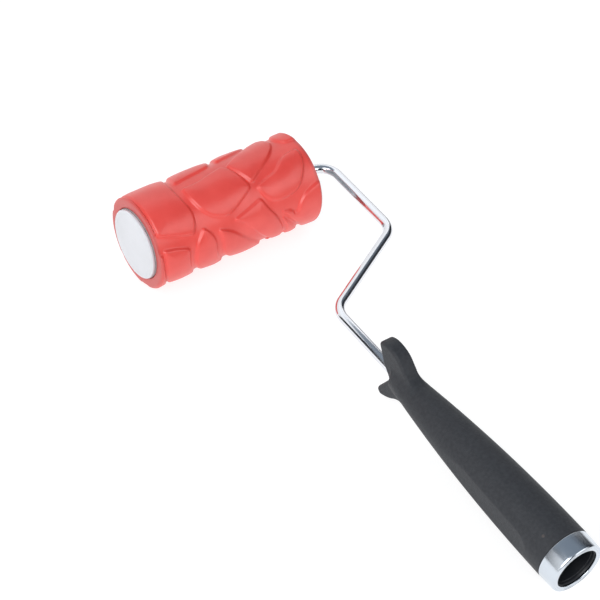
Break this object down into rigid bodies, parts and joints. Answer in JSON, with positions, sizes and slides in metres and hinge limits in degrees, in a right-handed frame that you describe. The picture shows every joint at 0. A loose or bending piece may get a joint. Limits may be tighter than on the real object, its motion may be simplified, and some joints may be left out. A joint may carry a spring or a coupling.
{
  "type": "textured pattern roller",
  "caption": "Hand roller with a rubber sleeve carrying raised stone-like pads, spinning on a bent wire frame with a flared moulded handle and a steel-ringed pole socket.",
  "frame": {"origin": "middle of the whole tool's box", "axes": "+X along the spin axis towards the side where the wire leaves the roller; -Y along the handle towards the pole socket; +Z square to the plane the wire is bent in"},
  "size_m": [0.16, 0.3908, 0.0658],
  "materials": {
    "red_rubber": "semi-matte moulded rubber",
    "grey_plastic": "plain moulded",
    "white_plastic": "satin moulded",
    "natural_acetal": "smooth moulded",
    "zinc_steel": "zinc plated",
    "chrome_wire": "bright chrome plate",
    "black_core": "plain moulded",
    "black_grip": "fine matte texture",
    "polished_ferrule": "polished, faintly brushed"
  },
  "bodies": {
    "frame": {"frame_wire": "chrome_wire", "stop_collar": "zinc_steel", "inner_washer": "zinc_steel", "outer_washer": "zinc_steel", "axle_push_nut": "zinc_steel", "handle_core": "black_core", "grip_skin": "black_grip", "core_pin": "zinc_steel", "pole_socket": "black_core", "ferrule": "polished_ferrule"},
    "roller": {"rubber_sleeve": "red_rubber", "core_tube": "grey_plastic", "outer_cover": "white_plastic", "outer_hub": "grey_plastic", "inner_hub": "white_plastic", "outer_bush": "natural_acetal", "inner_bush": "natural_acetal", "spacer_tube": "grey_plastic"}
  },
  "joints": [
    {"name": "roller_spin", "type": "hinge", "parent": "frame", "child": "roller", "pos_m": [-0.0139, 0.1625, 0], "axis": [1, 0, 0], "continuous": true}
  ]
}
